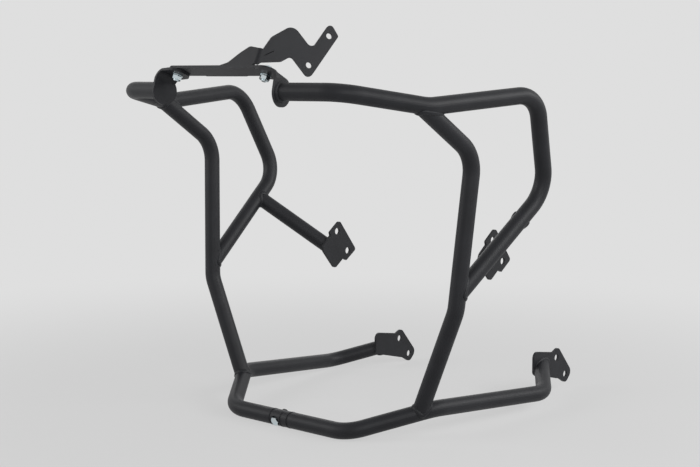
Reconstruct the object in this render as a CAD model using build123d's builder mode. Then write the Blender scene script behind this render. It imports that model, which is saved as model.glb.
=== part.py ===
from build123d import *
import math
import os

# Motorcycle crash bars: two mirrored halves of bent tube round an engine. The halves meet in a
# bolted half-lap joint in the lower tube and in a leaning bracket across the top.
# Frame: X forward, Y to the rider's left, Z up, in mm. The origin is on the axis of the lower
# tube, in the bike's centre plane.

# Main sizes, all from the origin to corner points of the tubes' centre lines
FRONT_REACH = 136.0  # hoops' front ends
REAR_REACH = 431.0  # lower tubes' rear ends
HALF_WIDTH = 308.5  # hoops' rear corners
HOOP_HEIGHT = 500.5  # hoops' front ends

# Tube
TUBE_OD = 25.0
TUBE_WALL = 2.0
BEND_RADIUS = 50.0  # centre line of every bend
FIT_GAP = 0.2  # root gap where a coped end meets another tube

# Corner points of the left half's centre lines before bending, as shares of the main sizes
HOOP_FRONT = (1.0, 0.3906, 1.0)
HOOP_NOSE = (0.8787, 0.6985, 1.0)
HOOP_SHOULDER = (0.0074, 0.8768, 0.96)
HOOP_REAR = (-0.4698, 1.0, 0.991)
HOOP_ELBOW = (-0.6137, 0.9238, 0.7013)
DOWN_KNEE = (-0.2332, 0.8801, 0.8192)
DOWN_SHIN = (-0.1949, 0.8282, 0.3706)
LOWER_CORNER = (0.0, 0.389, 0.0)
LOWER_FOOT = (-0.2401, 0.6499, 0.0599)
LOWER_HEEL = (-0.8237, 0.7455, 0.019)

# Where the tubes meet, as shares of the run between two corner points
DOWN_PLACE = 0.0947  # down tube's top, from the hoop's shoulder to its nose
BRACE_PLACE = 0.8972  # hoop's lower end, from the down tube's knee to its shin
FOOT_PLACE = 0.1562  # down tube's lower end, from the lower tube's foot to its corner
STUB_PLACE = 0.2823  # side stub's start, from the hoop's elbow to its lower end

# Frame plates. Outlines are X, Z and corner radius from the tube's end on the plate, in units of
# the plate's hole pitch. The left pair sits higher than the right pair.
PLATE_THICKNESS = 4.0
MOUNT_RISE = 5.5  # each way from the mean height
MOUNT_HOLE = 12.0
SIDE_PITCH = 45.64
SIDE_PLATE_FACE = 168.3  # Y of the side plate's outer face
SIDE_REACH = 284.0  # stub's end on that face, behind the origin
SIDE_HEIGHT = 227.5  # and above it
SIDE_HOLES = ((-0.263, 0.646), (-0.863, -0.154))
SIDE_OUTLINE = (
    (-0.394, 1.056, 0.131), (-1.337, -0.142, 0.099), (-0.778, -0.530, 0.066), (-0.592, -0.438, 0.066),
    (-0.116, -0.789, 0.153), (0.646, 0.092, 0.263), (0.116, 0.515, 0.033), (0.164, 0.635, 0.066),
)
REAR_PITCH = 42.86
REAR_PLATE_FACE = 174.5  # Y of the rear plate's outer face
REAR_HEIGHT = 31.0  # lower tube's end on that face
REAR_HOLES = ((-1.062, 0.2100), (-1.708, -0.5533))
REAR_OUTLINE = (
    (0.525, 0.677, 0.233), (-0.817, 0.462, 0.117), (-1.176, 0.623, 0.220), (-2.170, -0.509, 0.250),
    (-1.750, -0.933, 0.250), (-1.318, -0.688, 0.117), (0.525, -0.238, 0.152),
)

# End plates at the hoop's front ends: a round foot, bent inward to a tab for the bracket
END_PLATE = 4.0  # sheet thickness
END_RADIUS = 20.0  # round foot
END_SETBACK = 3.0  # foot's centre behind the tube's axis
TAB_WIDTH = 34.0
TAB_BEND = 11.0  # inner bend radius

# Top bracket: a strip across both tabs, leaning back, with an arm folded up behind it on the left
BRACKET_SHEET = 4.0
BRACKET_BEND = 3.5  # inner bend radius
BRACKET_LEAN = 24.0  # strip's front edge above horizontal, in degrees
SEAT_SETBACK = 4.4  # strip's seat on the tabs, behind the hoops' front ends
SEAT_RISE = 26.8  # and above them
STRIP_WIDTH = 28.0
ARM_FOLD_Y = 40.0
ARM_FOLD_ANGLE = 60.0
ARM_PITCH = 54.4  # between the arm's holes
ARM_HOLE = 9.0

# Arm leaves in units of ARM_PITCH: distance from the fold, height above the seat, corner radius
FOLD_LOW = 0.386
FOLD_HIGH = 0.827
ROOT_NOTCH = (-0.090, 0.300, 0.055)  # root leaf's end beside the fold
ROOT_LEAF = (
    (-0.320, 0.879, 0.184), (-0.625, 0.691, 0.257), (-0.969, 0.421, 0.331), (-1.581, 0.244, 0.074),
)
ARM_LEAF = (
    (0.064, 0.471, 0.092), (0.563, 0.684, 0.184), (0.773, 0.917, 0.110), (1.404, 0.497, 0.129),
    (1.842, 1.904, 0.074), (1.518, 2.189, 0.110), (1.244, 1.305, 0.138), (0.574, 1.739, 0.257),
    (0.120, 1.215, 0.147),
)
ARM_HOLES = ((1.594, 1.8220), (1.292, 0.8687))
SLIT_ENDS = ((0.092, 0.680), (0.287, 0.875))  # cable-tie slit
SLIT_WIDTH = 1.0

# Fasteners
BOLT_INSET = 30.0  # bracket bolts, inward from the hoops' front ends
BOLT_DIAMETER = 8.0
BOLT_HOLE = 8.6
TIP_CHAMFER = 0.8
HEX_FLATS = 13.0
HEX_CHAMFER = 30.0  # corners of heads and nuts, in degrees
HEAD_HEIGHT = 5.3
BUTTON_DIAMETER = 14.0
BUTTON_HEIGHT = 4.4
BUTTON_RIM = 0.8
SOCKET_FLATS = 5.0
SOCKET_DEPTH = 2.6
NUT_HEIGHT = 6.8
THREAD_PLAY = 0.05
WASHER_OD = 16.0
WASHER_HEIGHT = 1.6
THREAD_TAIL = 2.0  # thread left past a bracket nut

# Half-lap joint in the lower tube: Y of its faces
LAP_LEFT_END = 8.0  # left tube's end
LAP_SHOULDER = -6.0  # left plug's shoulder
LAP_RIGHT_END = -28.0  # right tube's end
LAP_GAP = 0.2  # between a tongue's tip and the face opposite
LAP_TILT = 20.0  # bolt axis below horizontal, in degrees
PLUG_LENGTH = 30.0  # plug inside each tube
PLUG_PLAY = 0.1  # radial
SPOT_FLOOR = 8.0  # spot faces, from the tube's axis
SPOT_DIAMETER = 16.5
LAP_BOLT_LENGTH = 25.0

TUBE_R = TUBE_OD / 2
BORE_R = TUBE_R - TUBE_WALL
COPE_R = TUBE_R + FIT_GAP
TRIM = 4 * TUBE_OD  # block that trims a tube's end flush with its plate
SIDES = (("left", 1), ("right", -1))


def spot(shares, side):
    """A corner point from its shares of the main sizes, mirrored for the right half."""
    reach = FRONT_REACH if shares[0] > 0 else REAR_REACH
    return Vector(shares[0] * reach, side * shares[1] * HALF_WIDTH, shares[2] * HOOP_HEIGHT)


def along(start, end, distance):
    """The point at a distance from start on the way to end."""
    return start + (end - start).normalized() * distance


def between(start, end, share):
    """The point at a share of the way from start to end."""
    return start + (end - start) * share


def plate_end(reach, height, face, side):
    """Where a tube ends on the outer face of a frame plate, at the side's own height."""
    return Vector(-reach, side * face, height + side * MOUNT_RISE)


def scaled(rows, size):
    """Rows of shares turned into mm."""
    return [tuple(size * share for share in row) for row in rows]


def flat(corners):
    """The points of an outline, without its radii."""
    return [corner[:2] for corner in corners]


def radii(corners):
    """The corner radii of an outline."""
    return [corner[2] for corner in corners]


def round_bar(points, outer, inner=0.0):
    """Sweeps a round section along bent corner points; an inner radius makes it a tube."""
    with BuildPart() as bar:
        with BuildLine() as centre:
            if len(points) > 2:
                FilletPolyline(*points, radius=BEND_RADIUS)
            else:
                Line(*points)
        with BuildSketch(Plane(origin=centre.line @ 0, z_dir=centre.line % 0)):
            Circle(outer)
            if inner > 0:
                Circle(inner, mode=Mode.SUBTRACT)
        sweep(path=centre.line)
    return bar.part


def hexagon(height, bore=0.0):
    """A hexagon with its upper corners chamfered, standing on Z 0."""
    across = HEX_FLATS / 2
    point = HEX_FLATS / math.sqrt(3)
    drop = (point - across) * math.tan(math.radians(HEX_CHAMFER))
    with BuildPart() as body:
        with BuildSketch():
            RegularPolygon(across, 6, major_radius=False)
            if bore > 0:
                Circle(bore / 2, mode=Mode.SUBTRACT)
        extrude(amount=height)
        with BuildSketch(Plane.XZ):
            with BuildLine():
                Polyline((across, height), (2 * point - across, height),
                         (2 * point - across, height - 2 * drop), close=True)
            make_face()
        revolve(axis=Axis.Z, mode=Mode.SUBTRACT)
    return body.part


def hex_bolt(length):
    """A hexagon bolt with its seat on Z 0 and its shank down Z."""
    head = hexagon(HEAD_HEIGHT)
    with BuildPart() as bolt:
        add(head)
        with BuildSketch():
            Circle(BOLT_DIAMETER / 2)
        extrude(amount=-length)
        chamfer(bolt.faces().sort_by(Axis.Z)[0].edges(), length=TIP_CHAMFER)
    return bolt.part


def button_bolt(length):
    """A round-headed socket bolt with its seat on Z 0 and its shank down Z."""
    rim = BUTTON_DIAMETER / 2
    with BuildPart() as bolt:
        with BuildSketch(Plane.XZ):
            with BuildLine():
                Polyline((rim, BUTTON_RIM), (rim, 0), (0, 0), (0, BUTTON_HEIGHT), (rim / 2, BUTTON_HEIGHT))
                TangentArc((rim / 2, BUTTON_HEIGHT), (rim, BUTTON_RIM), tangent=(1, 0))
            make_face()
        revolve(axis=Axis.Z)
        with BuildSketch(Plane.XY.offset(BUTTON_HEIGHT)):
            RegularPolygon(SOCKET_FLATS / 2, 6, major_radius=False)
        extrude(amount=-SOCKET_DEPTH, mode=Mode.SUBTRACT)
        with BuildSketch():
            Circle(BOLT_DIAMETER / 2)
        extrude(amount=-length)
        chamfer(bolt.faces().sort_by(Axis.Z)[0].edges(), length=TIP_CHAMFER)
    return bolt.part


def save(part, name):
    """Labels one node and writes its STEP file."""
    part.label = name
    export_step(part, f"parts/{name}.step")


side_outline = scaled(SIDE_OUTLINE, SIDE_PITCH)
side_holes = scaled(SIDE_HOLES, SIDE_PITCH)
rear_outline = scaled(REAR_OUTLINE, REAR_PITCH)
rear_holes = scaled(REAR_HOLES, REAR_PITCH)

# Bracket's own directions, and its seat on the tabs in the centre plane
lean = math.radians(BRACKET_LEAN)
ahead = Vector(math.cos(lean), 0, math.sin(lean))
above = Vector(-math.sin(lean), 0, math.cos(lean))
leftward = Vector(0, 1, 0)
seat = Vector(FRONT_REACH - SEAT_SETBACK, 0, HOOP_HEIGHT + SEAT_RISE)
bolt_y = spot(HOOP_FRONT, 1).Y - BOLT_INSET

os.makedirs("parts", exist_ok=True)

# Both halves. A coped tube end is cut by the bar it meets, FIT_GAP larger all round.
for half, side in SIDES:
    front = spot(HOOP_FRONT, side)
    nose = spot(HOOP_NOSE, side)
    shoulder = spot(HOOP_SHOULDER, side)
    rear = spot(HOOP_REAR, side)
    elbow = spot(HOOP_ELBOW, side)
    knee = spot(DOWN_KNEE, side)
    shin = spot(DOWN_SHIN, side)
    corner = spot(LOWER_CORNER, side)
    foot = spot(LOWER_FOOT, side)
    heel = spot(LOWER_HEEL, side) + Vector(0, 0, side * MOUNT_RISE)
    down_top = between(shoulder, nose, DOWN_PLACE)
    brace_end = between(knee, shin, BRACE_PLACE)
    down_foot = between(foot, corner, FOOT_PLACE)
    stub_start = between(elbow, brace_end, STUB_PLACE)
    side_end = plate_end(SIDE_REACH, SIDE_HEIGHT, SIDE_PLATE_FACE, side)
    rear_end = plate_end(REAR_REACH, REAR_HEIGHT, REAR_PLATE_FACE, side)
    lap_end = Vector(0, LAP_LEFT_END if side > 0 else LAP_RIGHT_END, 0)

    hoop_start = along(front, nose, END_PLATE / 2)
    hoop_bar = round_bar((hoop_start, nose, shoulder, rear, elbow, brace_end), TUBE_R, BORE_R)
    hoop_cope = round_bar((knee, shin), COPE_R)
    with BuildPart() as hoop_tube:
        add(hoop_bar)
        add(hoop_cope, mode=Mode.SUBTRACT)
    save(hoop_tube.part, f"{half}_hoop_tube")

    down_bar = round_bar((down_top, knee, shin, down_foot), TUBE_R, BORE_R)
    top_cope = round_bar((nose, shoulder, rear), COPE_R)
    foot_cope = round_bar((corner, foot, heel), COPE_R)
    with BuildPart() as down_tube:
        add(down_bar)
        add(top_cope, mode=Mode.SUBTRACT)
        add(foot_cope, mode=Mode.SUBTRACT)
    save(down_tube.part, f"{half}_down_tube")

    lower_bar = round_bar((lap_end, corner, foot, heel, along(rear_end, heel, -TUBE_OD)), TUBE_R, BORE_R)
    with BuildPart() as lower_tube:
        add(lower_bar)
        with BuildSketch(Plane(origin=rear_end, x_dir=(1, 0, 0), z_dir=(0, -side, 0))):
            Rectangle(TRIM, TRIM)
        extrude(amount=TRIM, mode=Mode.SUBTRACT)
    save(lower_tube.part, f"{half}_lower_tube")

    stub_bar = round_bar((stub_start, along(side_end, stub_start, -TUBE_OD)), TUBE_R, BORE_R)
    stub_cope = round_bar((elbow, brace_end), COPE_R)
    with BuildPart() as side_stub:
        add(stub_bar)
        add(stub_cope, mode=Mode.SUBTRACT)
        with BuildSketch(Plane(origin=side_end, x_dir=(1, 0, 0), z_dir=(0, -side, 0))):
            Rectangle(TRIM, TRIM)
        extrude(amount=TRIM, mode=Mode.SUBTRACT)
    save(side_stub.part, f"{half}_side_stub")

    with BuildPart() as side_plate:
        with BuildSketch(Plane(origin=side_end, x_dir=(1, 0, 0), z_dir=(0, -1, 0))):
            with BuildLine():
                FilletPolyline(*flat(side_outline), radius=radii(side_outline), close=True)
            make_face()
            with Locations(*side_holes):
                Circle(MOUNT_HOLE / 2, mode=Mode.SUBTRACT)
        extrude(amount=side * PLATE_THICKNESS)
    save(side_plate.part, f"{half}_side_plate")

    with BuildPart() as rear_plate:
        with BuildSketch(Plane(origin=rear_end, x_dir=(1, 0, 0), z_dir=(0, -1, 0))):
            with BuildLine():
                FilletPolyline(*flat(rear_outline), radius=radii(rear_outline), close=True)
            make_face()
            with Locations(*rear_holes):
                Circle(MOUNT_HOLE / 2, mode=Mode.SUBTRACT)
        extrude(amount=side * PLATE_THICKNESS)
    save(rear_plate.part, f"{half}_rear_plate")

    # End plate: a foot square to the hoop's front run, bent inward to lie under the bracket.
    # Edge, rise and inward are directions along the bend, up the foot and along the tab.
    outward = (nose - front).normalized()
    edge = outward.cross(above).normalized() * side
    rise = edge.cross(outward) * side
    inward = edge.cross(above) * side
    bolt_seat = seat + leftward * side * bolt_y
    tab_height = (bolt_seat - front).dot(above)
    bend_reach = END_PLATE / 2 + TAB_BEND
    bend_low = (tab_height - END_PLATE - TAB_BEND + bend_reach * outward.dot(above)) / rise.dot(above)
    bend_shift = (bolt_seat - front).dot(edge)
    bend_centre = front + rise * bend_low - outward * bend_reach + edge * bend_shift
    tab_root = bend_centre + above * (TAB_BEND + END_PLATE)
    tab_plane = Plane(origin=tab_root, x_dir=inward, z_dir=above)
    tab_bolt = tab_plane.to_local_coords(bolt_seat)
    half_tab = TAB_WIDTH / 2
    with BuildPart() as end_plate:
        with BuildSketch(Plane(origin=front, x_dir=rise, z_dir=outward)):
            with BuildLine():
                Line((bend_low, side * bend_shift - half_tab), (bend_low, side * bend_shift + half_tab))
                CenterArc((0, -side * END_SETBACK), END_RADIUS, 0, 360)
            make_hull()
        extrude(amount=END_PLATE / 2, both=True)
        with BuildSketch(Plane(origin=bend_centre, x_dir=outward, z_dir=outward.cross(edge))):
            with Locations((TAB_BEND, 0)):
                Rectangle(END_PLATE, TAB_WIDTH, align=(Align.MIN, Align.CENTER))
        revolve(axis=Axis(bend_centre, edge * side), revolution_arc=outward.get_angle(above))
        with BuildSketch(tab_plane):
            with BuildLine():
                Line((0, -half_tab), (0, half_tab))
                CenterArc(tab_bolt, half_tab, 0, 360)
            make_hull()
            with Locations(tab_bolt):
                Circle(BOLT_HOLE / 2, mode=Mode.SUBTRACT)
        extrude(amount=-END_PLATE)
    save(end_plate.part, f"{half}_end_plate")

# Top bracket: a strip over both tabs, a root leaf folded up behind it, and an arm folded back
fold_r = BRACKET_BEND + BRACKET_SHEET
root_axis = seat - ahead * (STRIP_WIDTH / 2) + above * fold_r + leftward * ARM_FOLD_Y
root_face = seat - ahead * (STRIP_WIDTH / 2 + BRACKET_BEND) + leftward * ARM_FOLD_Y
arm_axis = root_face - ahead * fold_r
arm_turn = math.radians(ARM_FOLD_ANGLE)
arm_normal = ahead * math.cos(arm_turn) + leftward * math.sin(arm_turn)
arm_run = leftward * math.cos(arm_turn) - ahead * math.sin(arm_turn)

fold_low = FOLD_LOW * ARM_PITCH
fold_high = FOLD_HIGH * ARM_PITCH
root_start = ROOT_LEAF[-1][0] * ARM_PITCH
root_end = ROOT_NOTCH[0] * ARM_PITCH
root_outline = [
    (root_start, fold_r, 0), (root_end, fold_r, 0), *scaled([ROOT_NOTCH], ARM_PITCH),
    (0, fold_low, 0), (0, fold_high, 0), *scaled(ROOT_LEAF, ARM_PITCH),
]
arm_outline = [(0, fold_low, 0), *scaled(ARM_LEAF, ARM_PITCH), (0, fold_high, 0)]
slit_start, slit_end = [Vector(*point) for point in scaled(SLIT_ENDS, ARM_PITCH)]
slit_run = slit_end - slit_start
with BuildPart() as top_bracket:
    with BuildSketch(Plane(origin=seat, x_dir=ahead, z_dir=above)):
        SlotCenterToCenter(2 * bolt_y, STRIP_WIDTH, rotation=90)
        with Locations((0, bolt_y), (0, -bolt_y)):
            Circle(BOLT_HOLE / 2, mode=Mode.SUBTRACT)
    extrude(amount=BRACKET_SHEET)
    with BuildSketch(Plane(origin=root_axis, x_dir=leftward, z_dir=ahead)):
        with Locations((root_start, -fold_r)):
            Rectangle(root_end - root_start, BRACKET_SHEET, align=(Align.MIN, Align.MIN))
    revolve(axis=Axis(root_axis, leftward), revolution_arc=90)
    with BuildSketch(Plane(origin=root_face, x_dir=leftward, z_dir=ahead)):
        with BuildLine():
            FilletPolyline(*flat(root_outline), radius=radii(root_outline), close=True)
        make_face()
    extrude(amount=-BRACKET_SHEET)
    with BuildSketch(Plane(origin=arm_axis, x_dir=ahead, z_dir=-leftward)):
        with Locations((BRACKET_BEND, fold_low)):
            Rectangle(BRACKET_SHEET, fold_high - fold_low, align=(Align.MIN, Align.MIN))
    revolve(axis=Axis(arm_axis, above), revolution_arc=ARM_FOLD_ANGLE)
    with BuildSketch(Plane(origin=arm_axis + arm_normal * fold_r, x_dir=arm_run, z_dir=arm_normal)):
        with BuildLine():
            FilletPolyline(*flat(arm_outline), radius=radii(arm_outline), close=True)
        make_face()
        with Locations(*scaled(ARM_HOLES, ARM_PITCH)):
            Circle(ARM_HOLE / 2, mode=Mode.SUBTRACT)
        with Locations((slit_start + slit_end) * 0.5):
            SlotCenterToCenter(
                slit_run.length, SLIT_WIDTH,
                rotation=math.degrees(math.atan2(slit_run.Y, slit_run.X)), mode=Mode.SUBTRACT,
            )
    extrude(amount=-BRACKET_SHEET)
save(top_bracket.part, "top_bracket")

# Bracket fasteners, one of each kind on both sides: heads on the strip, nuts under the tabs
strip_bolt = button_bolt(BRACKET_SHEET + END_PLATE + WASHER_HEIGHT + NUT_HEIGHT + THREAD_TAIL)
nut = hexagon(NUT_HEIGHT, BOLT_DIAMETER + 2 * THREAD_PLAY)
head_seat = seat + above * BRACKET_SHEET
washer_seat = seat - above * END_PLATE
nut_seat = washer_seat - above * WASHER_HEIGHT

with BuildPart() as bracket_bolts:
    with Locations(
        Plane(origin=head_seat + leftward * bolt_y, x_dir=ahead, z_dir=above),
        Plane(origin=head_seat - leftward * bolt_y, x_dir=ahead, z_dir=above),
    ):
        add(strip_bolt)
save(bracket_bolts.part, "bracket_bolts")

with BuildPart() as bracket_washers:
    with BuildSketch(Plane(origin=washer_seat, x_dir=ahead, z_dir=above)):
        with Locations((0, bolt_y), (0, -bolt_y)):
            Circle(WASHER_OD / 2)
            Circle(BOLT_HOLE / 2, mode=Mode.SUBTRACT)
    extrude(amount=-WASHER_HEIGHT)
save(bracket_washers.part, "bracket_washers")

with BuildPart() as bracket_nuts:
    with Locations(
        Plane(origin=nut_seat + leftward * bolt_y, x_dir=ahead, z_dir=-above),
        Plane(origin=nut_seat - leftward * bolt_y, x_dir=ahead, z_dir=-above),
    ):
        add(nut)
save(bracket_nuts.part, "bracket_nuts")

# Half-lap joint: the left plug carries the rear tongue, the right plug the front one
tilt = math.radians(LAP_TILT)
lap_axis = Vector(math.cos(tilt), 0, -math.sin(tilt))
lap_middle = Vector(0, (LAP_SHOULDER + LAP_RIGHT_END) / 2, 0)
lap_plane = Plane(origin=lap_middle, x_dir=(0, 1, 0), z_dir=lap_axis)
tongue = LAP_SHOULDER - LAP_RIGHT_END - LAP_GAP

with BuildPart() as left_plug:
    with BuildSketch(Plane(origin=(0, LAP_SHOULDER, 0), x_dir=lap_axis, z_dir=(0, 1, 0))):
        Circle(TUBE_R)
    extrude(amount=LAP_LEFT_END - LAP_SHOULDER)
    with BuildSketch(Plane(origin=(0, LAP_LEFT_END, 0), x_dir=lap_axis, z_dir=(0, 1, 0))):
        Circle(BORE_R - PLUG_PLAY)
    extrude(amount=PLUG_LENGTH)
    with BuildSketch(Plane(origin=(0, LAP_SHOULDER, 0), x_dir=lap_axis, z_dir=(0, -1, 0))):
        Circle(TUBE_R)
        Rectangle(TUBE_OD, TUBE_OD, align=(Align.MAX, Align.CENTER), mode=Mode.INTERSECT)
    extrude(amount=tongue)
    with BuildSketch(lap_plane):
        Circle(BOLT_HOLE / 2)
    extrude(amount=-TUBE_OD, mode=Mode.SUBTRACT)
    with BuildSketch(lap_plane.offset(-SPOT_FLOOR)):
        Circle(SPOT_DIAMETER / 2)
    extrude(amount=-TUBE_OD, mode=Mode.SUBTRACT)
save(left_plug.part, "left_joint_plug")

with BuildPart() as right_plug:
    with BuildSketch(Plane(origin=(0, LAP_RIGHT_END, 0), x_dir=lap_axis, z_dir=(0, -1, 0))):
        Circle(BORE_R - PLUG_PLAY)
    extrude(amount=PLUG_LENGTH)
    with BuildSketch(Plane(origin=(0, LAP_RIGHT_END, 0), x_dir=lap_axis, z_dir=(0, 1, 0))):
        Circle(TUBE_R)
        Rectangle(TUBE_OD, TUBE_OD, align=(Align.MIN, Align.CENTER), mode=Mode.INTERSECT)
    extrude(amount=tongue)
    with BuildSketch(lap_plane):
        Circle(BOLT_HOLE / 2)
    extrude(amount=TUBE_OD, mode=Mode.SUBTRACT)
    with BuildSketch(lap_plane.offset(SPOT_FLOOR)):
        Circle(SPOT_DIAMETER / 2)
    extrude(amount=TUBE_OD, mode=Mode.SUBTRACT)
save(right_plug.part, "right_joint_plug")

lap_shank = hex_bolt(LAP_BOLT_LENGTH)
with BuildPart() as joint_bolt:
    with Locations(lap_plane.offset(SPOT_FLOOR)):
        add(lap_shank)
save(joint_bolt.part, "joint_bolt")

with BuildPart() as joint_nut:
    with Locations(Plane(origin=lap_middle - lap_axis * SPOT_FLOOR, x_dir=(0, 1, 0), z_dir=-lap_axis)):
        add(nut)
save(joint_nut.part, "joint_nut")
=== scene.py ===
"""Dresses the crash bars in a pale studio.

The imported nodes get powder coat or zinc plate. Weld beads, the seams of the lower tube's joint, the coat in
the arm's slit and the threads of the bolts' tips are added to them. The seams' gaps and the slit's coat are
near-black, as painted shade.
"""

from __future__ import annotations

import logging
import math
from dataclasses import dataclass, field
from enum import Enum

import bmesh
import bpy
from mathutils import Matrix, Vector
from mathutils.bvhtree import BVHTree


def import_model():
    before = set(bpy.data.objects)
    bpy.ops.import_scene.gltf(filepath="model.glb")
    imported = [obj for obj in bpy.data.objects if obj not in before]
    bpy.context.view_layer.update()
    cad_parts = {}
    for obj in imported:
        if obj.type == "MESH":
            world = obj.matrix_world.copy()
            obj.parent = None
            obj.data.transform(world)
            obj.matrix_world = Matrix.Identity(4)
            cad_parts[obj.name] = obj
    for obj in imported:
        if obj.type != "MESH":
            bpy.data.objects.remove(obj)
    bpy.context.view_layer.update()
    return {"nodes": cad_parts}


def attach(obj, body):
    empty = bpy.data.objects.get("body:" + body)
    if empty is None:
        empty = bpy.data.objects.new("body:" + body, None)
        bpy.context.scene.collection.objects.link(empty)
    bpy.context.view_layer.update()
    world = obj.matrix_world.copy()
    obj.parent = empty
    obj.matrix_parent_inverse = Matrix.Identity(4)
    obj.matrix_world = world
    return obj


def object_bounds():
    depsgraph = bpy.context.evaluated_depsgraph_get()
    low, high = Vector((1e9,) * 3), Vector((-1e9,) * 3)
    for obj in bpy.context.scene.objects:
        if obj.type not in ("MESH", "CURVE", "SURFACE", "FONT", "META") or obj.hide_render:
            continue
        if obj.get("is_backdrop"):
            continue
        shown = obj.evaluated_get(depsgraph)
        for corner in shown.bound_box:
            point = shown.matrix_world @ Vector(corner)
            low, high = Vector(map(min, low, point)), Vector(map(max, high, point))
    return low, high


LOG = logging.getLogger("crash_bars")
MM = 0.001
BODY = "root"
MERGE_DISTANCE = 1e-6  # metres

# Sizes that several pieces share, in millimetres and degrees
TUBE_RADIUS = 12.5
BRACKET_SEAT_X = 131.6
BRACKET_SEAT_Z = 527.3
BRACKET_LEAN = 24.0
JOINT_TILT = 20.0  # joint bolt's axis below horizontal

Colour = tuple[float, float, float]
Point = tuple[float, float, float]


class Side(Enum):
    """The rider's side that a piece is on, with the sign of its Y."""

    LEFT = 1
    RIGHT = -1

    def hand(self, x: float, y: float, z: float) -> Vector:
        """Gives a left-side point in millimetres, or its mirror image on the right, in metres."""
        return Vector((x, self.value * y, z)) * MM

    def word(self) -> str:
        """Gives the side as it stands in a node's name."""
        return self.name.lower()


class Slot(Enum):
    """The record's material slots."""

    POWDER_COAT = "powder_coat"
    ZINC = "zinc"


class ShaderSheet:
    """One material's node tree, with short calls to add and join nodes."""

    weak: float = 0.3  # noise seldom falls below this value
    strong: float = 0.7  # and seldom rises above this one

    def __init__(self, name: str) -> None:
        """Starts a material with a bare principled shader.

        Args:
            name: the material's name.
        """
        self.material = bpy.data.materials.new(name)
        self.material.use_nodes = True
        self.tree = self.material.node_tree
        self.shader = self.tree.nodes["Principled BSDF"]
        self.place = self.add("ShaderNodeTexCoord").outputs["Object"]

    def add(self, kind: str, **values: object) -> bpy.types.Node:
        """Adds a node.

        Args:
            kind: Blender's name of the node's type.
            values: settings of the node, by attribute name.

        Returns:
            The new node.
        """
        node = self.tree.nodes.new(kind)
        for key, value in values.items():
            setattr(node, key, value)
        return node

    def join(self, source: bpy.types.NodeSocket, target: bpy.types.NodeSocket) -> None:
        """Links an output to an input."""
        self.tree.links.new(source, target)

    def noise(self, scale: float, detail: float, roughness: float = 0.5) -> bpy.types.NodeSocket:
        """Adds a noise pattern that stays fixed to the part.

        Args:
            scale: waves to the metre.
            detail: octaves of finer noise.
            roughness: strength of each finer octave.

        Returns:
            The pattern's value socket.
        """
        node = self.add("ShaderNodeTexNoise")
        node.inputs["Scale"].default_value = scale
        node.inputs["Detail"].default_value = detail
        node.inputs["Roughness"].default_value = roughness
        self.join(self.place, node.inputs["Vector"])
        return node.outputs["Fac"]

    def spread(self, source: bpy.types.NodeSocket, low: float, high: float) -> bpy.types.NodeSocket:
        """Maps the middle of a noise pattern onto a range.

        Args:
            source: the pattern.
            low: value where the pattern is weak.
            high: value where the pattern is strong.

        Returns:
            The mapped value socket.
        """
        node = self.add("ShaderNodeMapRange")
        node.inputs["From Min"].default_value = self.weak
        node.inputs["From Max"].default_value = self.strong
        node.inputs["To Min"].default_value = low
        node.inputs["To Max"].default_value = high
        self.join(source, node.inputs["Value"])
        return node.outputs["Result"]

    def tint(self, source: bpy.types.NodeSocket, low: Colour, high: Colour) -> bpy.types.NodeSocket:
        """Runs a pattern through two colours.

        Args:
            source: the pattern.
            low: colour where the pattern is weak.
            high: colour where the pattern is strong.

        Returns:
            The colour socket.
        """
        node = self.add("ShaderNodeValToRGB")
        ramp = node.color_ramp
        ramp.elements[0].position = self.weak
        ramp.elements[1].position = self.strong
        ramp.elements[0].color = (*low, 1.0)
        ramp.elements[1].color = (*high, 1.0)
        self.join(source, node.inputs["Fac"])
        return node.outputs["Color"]

    def relief(self, source: bpy.types.NodeSocket, depth: float, strength: float) -> None:
        """Raises the surface by a pattern, over what is raised already.

        Args:
            source: the pattern.
            depth: height of the pattern in metres.
            strength: share of that height that shows.
        """
        node = self.add("ShaderNodeBump")
        node.inputs["Distance"].default_value = depth
        node.inputs["Strength"].default_value = strength
        self.join(source, node.inputs["Height"])
        under = self.shader.inputs["Normal"]
        if under.is_linked:
            self.join(under.links[0].from_socket, node.inputs["Normal"])
        self.join(node.outputs["Normal"], under)


@dataclass(frozen=True)
class PowderCoat:
    """Satin black powder coat: orange peel, a fine grain and a faint change of depth."""

    name: str = "powder_coat_finish"
    thin: Colour = (0.0162, 0.0169, 0.0203)
    thick: Colour = (0.0114, 0.0119, 0.0144)
    sheen: tuple[float, float] = (0.44, 0.56)
    specular: float = 0.29
    depth_waves: float = 38.0
    peel_waves: float = 330.0
    peel_depth: float = 0.07 * MM
    peel_strength: float = 0.5
    grain_waves: float = 1900.0
    grain_depth: float = 0.01 * MM
    grain_strength: float = 0.6

    def material(self) -> bpy.types.Material:
        """Builds the finish.

        Returns:
            The new material.
        """
        sheet = ShaderSheet(self.name)
        peel = sheet.noise(self.peel_waves, detail=2.0)
        grain = sheet.noise(self.grain_waves, detail=2.0, roughness=0.6)
        depth = sheet.noise(self.depth_waves, detail=3.0)
        sheet.join(sheet.tint(depth, self.thin, self.thick), sheet.shader.inputs["Base Color"])
        sheet.join(sheet.spread(grain, *self.sheen), sheet.shader.inputs["Roughness"])
        sheet.shader.inputs["Specular IOR Level"].default_value = self.specular
        sheet.relief(peel, self.peel_depth, self.peel_strength)
        sheet.relief(grain, self.grain_depth, self.grain_strength)
        return sheet.material


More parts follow.
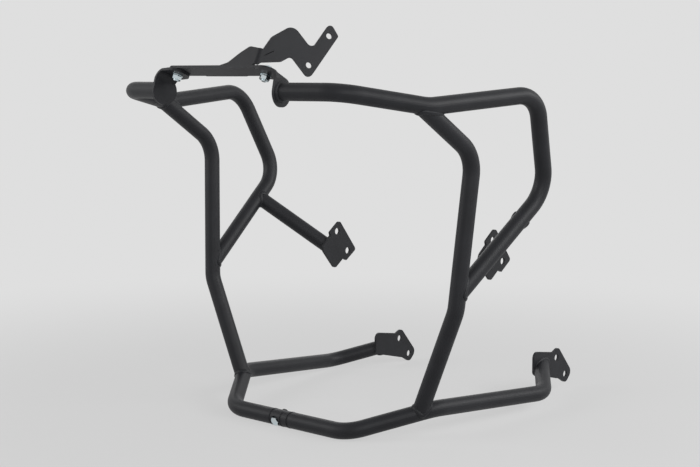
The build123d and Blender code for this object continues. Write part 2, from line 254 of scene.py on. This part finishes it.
@dataclass(frozen=True)
class ZincPlate:
    """Zinc plate, bright unless its colours are changed: bluish, with paler patches and machining marks."""

    name: str = "zinc_finish"
    deep: Colour = (0.62, 0.73, 0.78)
    pale: Colour = (0.72, 0.77, 0.78)
    sheen: tuple[float, float] = (0.08, 0.18)
    patch_waves: float = 160.0
    mark_waves: float = 900.0
    mark_depth: float = 0.02 * MM
    mark_strength: float = 0.5

    def material(self) -> bpy.types.Material:
        """Builds the finish.

        Returns:
            The new material.
        """
        sheet = ShaderSheet(self.name)
        patches = sheet.noise(self.patch_waves, detail=3.0)
        marks = sheet.noise(self.mark_waves, detail=4.0, roughness=0.65)
        sheet.join(sheet.tint(patches, self.deep, self.pale), sheet.shader.inputs["Base Color"])
        sheet.join(sheet.spread(marks, *self.sheen), sheet.shader.inputs["Roughness"])
        sheet.shader.inputs["Metallic"].default_value = 1.0
        sheet.relief(marks, self.mark_depth, self.mark_strength)
        return sheet.material


@dataclass
class Finishes:
    """Every finish of the object: one for each material slot, and two for places of their own: a near-black
    one that paints shade, and dark zinc.
    """

    coat: PowderCoat = field(default_factory=PowderCoat)
    # painted shade: a near-black, nearly matte coat for what lies deep in the joint's seams and the arm's
    # slit
    shade_coat: PowderCoat = field(default_factory=lambda: PowderCoat(
        name="painted_shade_finish", thin=(0.004, 0.004, 0.0045), thick=(0.003, 0.003, 0.0035),
        sheen=(0.75, 0.85), specular=0.05,
    ))
    zinc: ZincPlate = field(default_factory=ZincPlate)
    dark_zinc: ZincPlate = field(default_factory=lambda: ZincPlate(
        name="dark_zinc_finish", deep=(0.022, 0.024, 0.027), pale=(0.030, 0.030, 0.028), sheen=(0.38, 0.50),
    ))
    zinc_endings: tuple[str, ...] = ("bolt", "bolts", "nut", "nuts", "washers")
    dark_zinc_node: str = "joint_nut"
    made: dict[Slot, bpy.types.Material] = field(default_factory=dict)
    made_shade_coat: bpy.types.Material = field(init=False)
    made_dark_zinc: bpy.types.Material = field(init=False)

    def build(self) -> None:
        """Makes every material once."""
        self.made[Slot.POWDER_COAT] = self.coat.material()
        self.made[Slot.ZINC] = self.zinc.material()
        self.made_shade_coat = self.shade_coat.material()
        self.made_dark_zinc = self.dark_zinc.material()

    def paint_shade(self, piece: bpy.types.Object) -> None:
        """Gives a piece at the bottom of a gap the near-black finish that paints the shade which falls there.
        """
        piece.data.materials.append(self.made_shade_coat)

    def dress(self, piece: bpy.types.Object, slot: Slot) -> None:
        """Gives a new piece the finish of a slot.

        Args:
            piece: a mesh object made here.
            slot: the slot that it takes its finish from.
        """
        piece.data.materials.append(self.made[slot])

    def coat_nodes(self, nodes: dict[str, bpy.types.Object]) -> None:
        """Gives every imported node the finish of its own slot, and the joint's nut the dark one.

        Args:
            nodes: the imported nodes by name.
        """
        for name, node in nodes.items():
            slot = Slot.ZINC if name.endswith(self.zinc_endings) else Slot.POWDER_COAT
            finish = self.made_dark_zinc if name == self.dark_zinc_node else self.made[slot]
            for holder in node.material_slots:
                holder.material = finish
            LOG.info("node %s finished in %s", name, finish.name)


def rim_of(corners: list[bmesh.types.BMVert]) -> list[bmesh.types.BMEdge]:
    """Gives the edges at some corners once each, in the corners' order."""
    return list(dict.fromkeys(edge for corner in corners for edge in corner.link_edges))


def finish_mesh(name: str, mesh: bmesh.types.BMesh) -> bpy.types.Object:
    """Turns a finished bmesh into a smooth-shaded piece that rides on the part.

    Args:
        name: the piece's name.
        mesh: the shape, with its place in its vertices. It is freed here.

    Returns:
        The new object, at the origin.
    """
    bmesh.ops.remove_doubles(mesh, verts=mesh.verts, dist=MERGE_DISTANCE)
    bmesh.ops.recalc_face_normals(mesh, faces=mesh.faces)
    for face in mesh.faces:
        face.smooth = True
    data = bpy.data.meshes.new(name)
    mesh.to_mesh(data)
    mesh.free()
    piece = bpy.data.objects.new(name, data)
    bpy.context.scene.collection.objects.link(piece)
    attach(piece, BODY)
    LOG.info("piece %s with %d faces", name, len(data.polygons))
    return piece


@dataclass
class WeldBead:
    """One fillet weld round a tube's end, with the ripples of its runs.

    The seam is found by casting rays down the tube's wall onto the node that it is welded to. They start
    from a ring just inside the wall's outer face, ray_start tube radii up the tube.
    """

    name: str
    seat: str
    foot: Vector
    way: Vector
    tube_radius: float = TUBE_RADIUS * MM
    half_width: float = 3.7 * MM
    half_height: float = 2.0 * MM
    ripple: float = 2.1 * MM
    swell: float = 0.10
    swell_middle: float = 0.6
    rays: int = 180
    ray_start: float = 6.0
    ray_ring: float = 0.985
    ring: int = 10
    stations_per_ripple: int = 5

    def seam(self, seat: bpy.types.Object) -> list[tuple[Vector, Vector]]:
        """Follows the seam once round the tube.

        Args:
            seat: the node's object that the tube is welded to.

        Returns:
            Points of the seam, each with the direction that the fillet faces.
        """
        tree = BVHTree.FromObject(seat, bpy.context.evaluated_depsgraph_get())
        across = self.way.orthogonal().normalized()
        beside = self.way.cross(across)
        start = self.foot + self.way * (self.ray_start * self.tube_radius)
        found = []
        for step in range(self.rays):
            turn = math.tau * step / self.rays
            radial = across * math.cos(turn) + beside * math.sin(turn)
            hit, normal, _, _ = tree.ray_cast(start + radial * (self.tube_radius * self.ray_ring), -self.way)
            if hit is not None:
                found.append((hit, (normal + radial).normalized()))
        return found

    def stations(self, seam: list[tuple[Vector, Vector]]) -> list[tuple[Vector, Vector, float]]:
        """Spaces the bead's rings evenly along the seam.

        Args:
            seam: the traced points.

        Returns:
            Each ring's centre, facing and size.
        """
        closed = seam + seam[:1]
        marks = [0.0]
        for (a, _), (b, _) in zip(closed, closed[1:]):
            marks.append(marks[-1] + (b - a).length)
        ripples = round(marks[-1] / self.ripple)
        count = ripples * self.stations_per_ripple
        rings = []
        leg = 0
        for step in range(count):
            reach = marks[-1] * step / count
            while marks[leg + 1] < reach:
                leg += 1
            share = (reach - marks[leg]) / (marks[leg + 1] - marks[leg])
            centre = closed[leg][0].lerp(closed[leg + 1][0], share)
            facing = closed[leg][1].lerp(closed[leg + 1][1], share).normalized()
            phase = (step % self.stations_per_ripple) / self.stations_per_ripple
            size = 1.0 + self.swell * (math.sqrt(1.0 - phase) - self.swell_middle)
            rings.append((centre, facing, size))
        return rings

    def build(self, nodes: dict[str, bpy.types.Object]) -> bpy.types.Object:
        """Sweeps a ring along the seam.

        Args:
            nodes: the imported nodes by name.

        Returns:
            The bead.
        """
        rings = self.stations(self.seam(nodes[self.seat]))
        places = []
        for step, (centre, facing, size) in enumerate(rings):
            run = (rings[(step + 1) % len(rings)][0] - rings[step - 1][0]).normalized()
            side = run.cross(facing).normalized()
            up = side.cross(run)
            turn = Matrix((side, up, run)).transposed().to_4x4()
            grow = Matrix.Diagonal((self.half_width * size, self.half_height * size, self.half_width, 1.0))
            places.append(Matrix.Translation(centre) @ turn @ grow)
        mesh = bmesh.new()
        first = bmesh.ops.create_circle(mesh, segments=self.ring, radius=1.0, matrix=places[0])["verts"]
        edges = rim_of(first)
        opening = list(edges)
        for before, after in zip(places, places[1:]):
            grown = bmesh.ops.extrude_edge_only(mesh, edges=edges)["geom"]
            edges = [item for item in grown if isinstance(item, bmesh.types.BMEdge)]
            moved = [item for item in grown if isinstance(item, bmesh.types.BMVert)]
            bmesh.ops.transform(mesh, matrix=after @ before.inverted(), verts=moved)
        bmesh.ops.bridge_loops(mesh, edges=opening + edges)
        return finish_mesh(self.name, mesh)


@dataclass
class ThreadedTail:
    """The thread on the tip of a bolt, where it stands out of its nut."""

    name: str
    start: Vector
    way: Vector
    length: float = 1.5 * MM
    radius: float = 4.0 * MM
    pitch: float = 1.25 * MM
    proud: float = 0.12 * MM
    sunk: float = 0.35 * MM
    flank: float = 0.42 * MM
    turn_steps: int = 24

    def build(self) -> bpy.types.Object:
        """Winds a pointed ridge round the tip.

        Returns:
            The thread.
        """
        out = self.way.orthogonal().normalized()
        root = self.start + out * (self.radius - self.sunk)
        crest = self.start + out * (self.radius + self.proud) + self.way * self.flank
        mesh = bmesh.new()
        corners = [mesh.verts.new(point) for point in (root, crest, root + self.way * (2.0 * self.flank))]
        edges = [mesh.edges.new((corners[step - 1], corners[step])) for step in range(3)]
        rise = self.pitch / self.turn_steps
        steps = round((self.length - 2.0 * self.flank) / rise)
        bmesh.ops.spin(
            mesh, geom=corners + edges, cent=self.start, axis=self.way, dvec=self.way * rise,
            angle=math.tau * steps / self.turn_steps, steps=steps,
        )
        bmesh.ops.holes_fill(mesh, edges=mesh.edges, sides=3)
        return finish_mesh(self.name, mesh)


@dataclass
class JointSeam:
    """A seam of the lower tube's joint: two rounded lips of coat, with a near-black ring of painted shade in
    the gap between them.

    The seam runs forward and down round the tube's axis, which is Y, between two angles in degrees
    from the tube's top. It leaves out the tube's lowest line, which the part stands on.
    """

    name: str
    place: float
    begin: float
    end: float
    tube_radius: float = TUBE_RADIUS * MM
    lip: float = 0.9 * MM
    lip_proud: float = 0.40 * MM
    lip_offset: float = 1.25 * MM
    gap: float = 0.7 * MM
    gap_proud: float = 0.10 * MM
    sides: int = 12
    steps: int = 96

    def hoop(self, mesh: bmesh.types.BMesh, offset: float, radius: float, proud: float) -> None:
        """Turns one round section about the tube's axis.

        Args:
            mesh: the shape that it is added to.
            offset: distance from the seam along the tube.
            radius: radius of the section.
            proud: height of the section over the tube.
        """
        along = Vector((0.0, 1.0, 0.0))
        begin = math.radians(self.begin)
        out = Vector((math.sin(begin), 0.0, math.cos(begin)))
        basis = Matrix((out, along, out.cross(along))).transposed().to_4x4()
        centre = along * (self.place + offset) + out * (self.tube_radius + proud - radius)
        corners = bmesh.ops.create_circle(
            mesh, segments=self.sides, radius=radius, matrix=Matrix.Translation(centre) @ basis,
        )["verts"]
        bmesh.ops.spin(
            mesh, geom=corners + rim_of(corners), cent=(0.0, 0.0, 0.0), axis=along,
            angle=math.radians(self.end - self.begin), steps=self.steps,
        )

    def build(self, finishes: Finishes) -> None:
        """Makes the lips, and the gap between them as a ring of painted shade.

        Args:
            finishes: the object's finishes.
        """
        lips = bmesh.new()
        for offset in (-self.lip_offset, self.lip_offset):
            self.hoop(lips, offset, self.lip, self.lip_proud)
        gap = bmesh.new()
        self.hoop(gap, 0.0, self.gap, self.gap_proud)
        for mesh in (lips, gap):
            bmesh.ops.holes_fill(mesh, edges=mesh.edges, sides=self.sides)
        finishes.dress(finish_mesh(f"{self.name}_lips", lips), Slot.POWDER_COAT)
        # painted shade: the gap's ring is near-black to stand for the shade in the seam
        finishes.paint_shade(finish_mesh(f"{self.name}_gap", gap))


@dataclass
class LapJoint:
    """The half-lap joint in the lower tube, with its three seams at their Y in millimetres.

    The seams stop at underside degrees to each side of the tube's lowest line.
    """

    left_end: float = 8.0
    shoulder: float = -6.0
    right_end: float = -28.0
    tilt: float = JOINT_TILT
    underside: float = 18.0

    def build(self, finishes: Finishes) -> None:
        """Opens every seam; the shoulder's runs round the front half only.

        Args:
            finishes: the object's finishes.
        """
        low = 180.0 - self.underside
        seams = (
            JointSeam("left_joint_seam", self.left_end * MM, -low, low),
            JointSeam("middle_joint_seam", self.shoulder * MM, self.tilt, low),
            JointSeam("right_joint_seam", self.right_end * MM, -low, low),
        )
        for seam in seams:
            seam.build(finishes)


@dataclass
class ArmSlit:
    """The coat that bridges the narrow slit in the bracket's arm, sunk below both faces of the sheet and
    drawn near-black as painted shade.

    Sizes are in millimetres and degrees. fold_radius is the outer one, middle is the slit's middle from the
    end of the fold, along the arm and up it, and size is the coat's length, width and thickness.
    """

    seat: Point = (BRACKET_SEAT_X, 0.0, BRACKET_SEAT_Z)
    lean: float = BRACKET_LEAN
    fold_back: float = 17.5
    fold_y: float = 40.0
    fold_angle: float = 60.0
    fold_radius: float = 7.5
    sheet: float = 4.0
    middle: tuple[float, float] = (10.31, 42.30)
    slope: float = 45.0
    size: tuple[float, float, float] = (15.8, 1.02, 2.2)

    def build(self, finishes: Finishes) -> None:
        """Fills the slit with the coat, in the near-black finish of painted shade.

        Args:
            finishes: the object's finishes.
        """
        lean, fold, slope = (math.radians(angle) for angle in (self.lean, self.fold_angle, self.slope))
        ahead = Vector((math.cos(lean), 0.0, math.sin(lean)))
        above = Vector((-math.sin(lean), 0.0, math.cos(lean)))
        left = Vector((0.0, 1.0, 0.0))
        normal = ahead * math.cos(fold) + left * math.sin(fold)
        run = left * math.cos(fold) - ahead * math.sin(fold)
        corner = Vector(self.seat) + left * self.fold_y - ahead * (self.fold_back + self.fold_radius)
        mid_sheet = corner + normal * (self.fold_radius - self.sheet / 2)
        centre = mid_sheet + run * self.middle[0] + above * self.middle[1]
        length = run * math.cos(slope) + above * math.sin(slope)
        turn = Matrix((length, normal.cross(length), normal)).transposed().to_4x4()
        grow = Matrix.Diagonal((*self.size, 1.0))
        mesh = bmesh.new()
        bmesh.ops.create_cube(mesh, size=MM, matrix=Matrix.Translation(centre * MM) @ turn @ grow)
        # painted shade: the slit's coat is near-black to stand for the shade deep in the slit
        finishes.paint_shade(finish_mesh("arm_slit_coat_shade", mesh))


@dataclass
class Fastening:
    """The bolts that show their tips: two through the bracket and one through the lower tube's joint.

    Places are in millimetres. Each nut's outer face is given by its distance down the bolt.
    """

    seat: Point = (BRACKET_SEAT_X, 90.5, BRACKET_SEAT_Z)
    lean: float = BRACKET_LEAN
    nut_face: float = 12.4
    joint: Point = (0.0, -17.0, 0.0)
    joint_tilt: float = JOINT_TILT
    joint_nut_face: float = 14.8

    def tails(self) -> list[ThreadedTail]:
        """Lists the bolt tips.

        Returns:
            One thread for each bolt.
        """
        lean = math.radians(self.lean)
        tilt = math.radians(self.joint_tilt)
        down = Vector((math.sin(lean), 0.0, -math.cos(lean)))
        back = Vector((-math.cos(tilt), 0.0, math.sin(tilt)))
        found = []
        for side in Side:
            start = side.hand(*self.seat) + down * (self.nut_face * MM)
            found.append(ThreadedTail(f"{side.word()}_bolt_thread", start, down))
        start = Vector(self.joint) * MM + back * (self.joint_nut_face * MM)
        found.append(ThreadedTail("joint_bolt_thread", start, back))
        return found

    def build(self, finishes: Finishes) -> None:
        """Cuts every thread and plates it.

        Args:
            finishes: the object's finishes.
        """
        for tail in self.tails():
            finishes.dress(tail.build(), Slot.ZINC)


def step_from(start: Vector, end: Vector, distance: float) -> Vector:
    """Gives the point at a distance from start on the way to end."""
    return start + (end - start).normalized() * distance


@dataclass
class WeldedHalf:
    """The welds of one half of the bars, at the corner points of its tubes in millimetres.

    The frame plates sit mount_rise above these points on the left half and as far below them on the right.
    """

    side: Side
    front: Point = (136.0, 120.5, 500.5)
    nose: Point = (119.5, 215.5, 500.5)
    shoulder: Point = (1.0, 270.5, 480.5)
    elbow: Point = (-264.5, 285.0, 351.0)
    knee: Point = (-100.5, 271.5, 410.0)
    shin: Point = (-84.0, 255.5, 185.5)
    corner: Point = (0.0, 120.0, 0.0)
    foot: Point = (-103.5, 200.5, 30.0)
    heel: Point = (-355.0, 230.0, 9.5)
    side_end: Point = (-284.0, 168.3, 227.5)
    rear_end: Point = (-431.0, 174.5, 31.0)
    mount_rise: float = 5.5
    down_setback: float = 12.5
    brace_drop: float = 202.5
    foot_setback: float = 21.0
    stub_setback: float = 65.0

    def at(self, point: Point, rise: float = 0.0) -> Vector:
        """Gives a corner point on this half in metres, raised on the left half and lowered on the right."""
        x, y, z = point
        return self.side.hand(x, y, z + self.side.value * rise)

    def beads(self) -> list[WeldBead]:
        """Lists the seams of this half.

        Returns:
            One bead for each tube end that is welded.
        """
        word = self.side.word()
        nose = self.at(self.nose)
        elbow = self.at(self.elbow)
        knee = self.at(self.knee)
        shin = self.at(self.shin)
        heel = self.at(self.heel, self.mount_rise)
        down_top = step_from(self.at(self.shoulder), nose, self.down_setback * MM)
        brace_end = step_from(knee, shin, self.brace_drop * MM)
        down_foot = step_from(self.at(self.foot), self.at(self.corner), self.foot_setback * MM)
        stub_start = step_from(elbow, brace_end, self.stub_setback * MM)
        side_end = self.at(self.side_end, self.mount_rise)
        rear_end = self.at(self.rear_end, self.mount_rise)
        front = self.at(self.front)
        ends = (
            ("brace", "down_tube", brace_end, elbow),
            ("down_top", "hoop_tube", down_top, knee),
            ("down_foot", "lower_tube", down_foot, shin),
            ("stub", "hoop_tube", stub_start, side_end),
            ("side_plate", "side_plate", side_end, stub_start),
            ("rear_plate", "rear_plate", rear_end, heel),
            ("end_plate", "end_plate", front, nose),
        )
        return [
            WeldBead(f"{word}_{name}_weld", f"{word}_{seat}", foot, (towards - foot).normalized())
            for name, seat, foot, towards in ends
        ]

    def build(self, nodes: dict[str, bpy.types.Object], finishes: Finishes) -> None:
        """Lays every bead of this half and coats it with the tubes.

        Args:
            nodes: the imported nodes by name.
            finishes: the object's finishes.
        """
        for bead in self.beads():
            finishes.dress(bead.build(nodes), Slot.POWDER_COAT)


@dataclass(frozen=True)
class SoftBox:
    """A studio light with a flat face, turned to the object, in metres."""

    name: str
    way: tuple[float, float, float]
    width: float
    height: float
    radiance: float
    distance: float = 2.6

    def build(self, aim: Vector) -> None:
        """Hangs the light.

        Args:
            aim: the point that it faces.
        """
        data = bpy.data.lights.new(self.name, "AREA")
        data.shape = "RECTANGLE"
        data.size = self.width
        data.size_y = self.height
        data.energy = self.radiance * math.pi * self.width * self.height
        lamp = bpy.data.objects.new(self.name, data)
        away = Vector(self.way).normalized()
        turn = away.to_track_quat("Z", "Y").to_matrix().to_4x4()
        lamp.matrix_world = Matrix.Translation(aim + away * self.distance) @ turn
        bpy.context.scene.collection.objects.link(lamp)


@dataclass
class Studio:
    """The pale room: floor, world light, soft boxes and camera, in metres.

    The floor shows the shadow most within shadow_core of shadow_reach from the object, where a floor_glow
    share of it still glows pale, and none past it.
    """

    aim: Vector = field(default_factory=lambda: Vector((-0.1, 0.0, 0.27)))
    pale: float = 0.737
    room_light: float = 0.08
    floor_tone: float = 0.75
    floor_glow: float = 0.72
    floor_gap: float = 0.3 * MM
    floor_reach: float = 40.0
    floor_sides: int = 64
    shadow_reach: float = 1.6
    shadow_core: float = 0.25
    boxes: tuple[SoftBox, ...] = (
        SoftBox("right_box", way=(-0.35, 0.80, 0.40), width=3.2, height=0.9, radiance=4.8),
        SoftBox("front_box", way=(0.70, -0.60, 0.36), width=1.6, height=1.2, radiance=3.2),
        SoftBox("fill_box", way=(0.585, 0.75, 0.31), width=0.9, height=0.6, radiance=6.0),
        SoftBox("back_box", way=(-0.62, -0.70, 0.35), width=2.0, height=1.2, radiance=1.0),
    )
    camera_place: Vector = field(default_factory=lambda: Vector((1.4716, 1.4274, 0.5245)))
    camera_right: Vector = field(default_factory=lambda: Vector((-0.6623, 0.7493, 0.0)))
    camera_down: Vector = field(default_factory=lambda: Vector((0.0867, 0.0766, -0.9933)))
    focal_pixels: float = 1370.0
    image_width: float = 700.0
    sensor: float = 36.0

    def build(self) -> None:
        """Sets the room up round the object."""
        bpy.context.scene.view_settings.view_transform = "Standard"
        self.build_world()
        self.build_floor(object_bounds()[0][2] - self.floor_gap)
        for box in self.boxes:
            box.build(self.aim)
        self.build_camera()

    def seen(self, tree: bpy.types.NodeTree) -> bpy.types.NodeSocket:
        """Adds the test for rays that show the backdrop: straight, mirrored or through.

        Args:
            tree: the node tree that needs it.

        Returns:
            A socket that is 1 for such a ray.
        """
        path = tree.nodes.new("ShaderNodeLightPath")
        total = path.outputs["Is Camera Ray"]
        for ray in ("Is Glossy Ray", "Is Transmission Ray"):
            either = tree.nodes.new("ShaderNodeMath")
            either.operation = "MAXIMUM"
            tree.links.new(total, either.inputs[0])
            tree.links.new(path.outputs[ray], either.inputs[1])
            total = either.outputs[0]
        return total

    def build_world(self) -> None:
        """Lights the room evenly and shows it pale."""
        world = bpy.data.worlds.new("pale_room")
        world.use_nodes = True
        tree = world.node_tree
        light = tree.nodes["Background"]
        light.inputs["Color"].default_value = (self.room_light,) * 3 + (1.0,)
        pale = tree.nodes.new("ShaderNodeBackground")
        pale.inputs["Color"].default_value = (self.pale,) * 3 + (1.0,)
        mix = tree.nodes.new("ShaderNodeMixShader")
        tree.links.new(self.seen(tree), mix.inputs["Fac"])
        tree.links.new(light.outputs[0], mix.inputs[1])
        tree.links.new(pale.outputs[0], mix.inputs[2])
        tree.links.new(mix.outputs[0], tree.nodes["World Output"].inputs["Surface"])
        bpy.context.scene.world = world

    def build_floor(self, level: float) -> None:
        """Lays the floor, which takes the shadow near the object and fades into the backdrop.

        Args:
            level: height of the floor.
        """
        mesh = bmesh.new()
        bmesh.ops.create_circle(
            mesh, cap_ends=True, segments=self.floor_sides, radius=self.floor_reach,
            matrix=Matrix.Translation((0.0, 0.0, level)),
        )
        data = bpy.data.meshes.new("floor")
        mesh.to_mesh(data)
        mesh.free()
        floor = bpy.data.objects.new("floor", data)
        floor.data.materials.append(self.floor_material())
        bpy.context.scene.collection.objects.link(floor)
        floor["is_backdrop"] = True

    def floor_material(self) -> bpy.types.Material:
        """Makes the floor's paper.

        Returns:
            The new material.
        """
        sheet = ShaderSheet("pale_paper")
        sheet.shader.inputs["Base Color"].default_value = (self.floor_tone,) * 3 + (1.0,)
        sheet.shader.inputs["Roughness"].default_value = 1.0
        sheet.shader.inputs["Specular IOR Level"].default_value = 0.0
        pale = sheet.add("ShaderNodeEmission")
        pale.inputs["Color"].default_value = (self.pale,) * 3 + (1.0,)
        centre = sheet.add("ShaderNodeVectorMath", operation="DISTANCE")
        sheet.join(sheet.place, centre.inputs[0])
        centre.inputs[1].default_value = (self.aim.x, self.aim.y, 0.0)
        fade = sheet.add("ShaderNodeMapRange", interpolation_type="SMOOTHSTEP")
        fade.inputs["From Min"].default_value = self.shadow_core * self.shadow_reach
        fade.inputs["From Max"].default_value = self.shadow_reach
        fade.inputs["To Min"].default_value = self.floor_glow
        sheet.join(centre.outputs["Value"], fade.inputs["Value"])
        both = sheet.add("ShaderNodeMath", operation="MULTIPLY")
        sheet.join(fade.outputs["Result"], both.inputs[0])
        sheet.join(self.seen(sheet.tree), both.inputs[1])
        mix = sheet.add("ShaderNodeMixShader")
        sheet.join(both.outputs[0], mix.inputs["Fac"])
        sheet.join(sheet.shader.outputs[0], mix.inputs[1])
        sheet.join(pale.outputs[0], mix.inputs[2])
        sheet.join(mix.outputs[0], sheet.tree.nodes["Material Output"].inputs["Surface"])
        return sheet.material

    def build_camera(self) -> None:
        """Stands the camera at the viewing angle."""
        data = bpy.data.cameras.new("camera")
        data.sensor_fit = "HORIZONTAL"
        data.sensor_width = self.sensor
        data.lens = self.sensor * self.focal_pixels / self.image_width
        camera = bpy.data.objects.new("camera", data)
        right = self.camera_right.normalized()
        back = right.cross(-self.camera_down).normalized()
        up = back.cross(right)
        turn = Matrix((right, up, back)).transposed().to_4x4()
        camera.matrix_world = Matrix.Translation(self.camera_place) @ turn
        bpy.context.scene.collection.objects.link(camera)
        bpy.context.scene.camera = camera


def main() -> None:
    """Builds the dressed object and its studio."""
    logging.basicConfig(level=logging.INFO, format="%(name)s: %(message)s")
    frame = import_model()
    finishes = Finishes()
    finishes.build()
    finishes.coat_nodes(frame["nodes"])
    for side in Side:
        WeldedHalf(side).build(frame["nodes"], finishes)
    LapJoint().build(finishes)
    ArmSlit().build(finishes)
    Fastening().build(finishes)
    Studio().build()


if __name__ == "__main__":
    main()
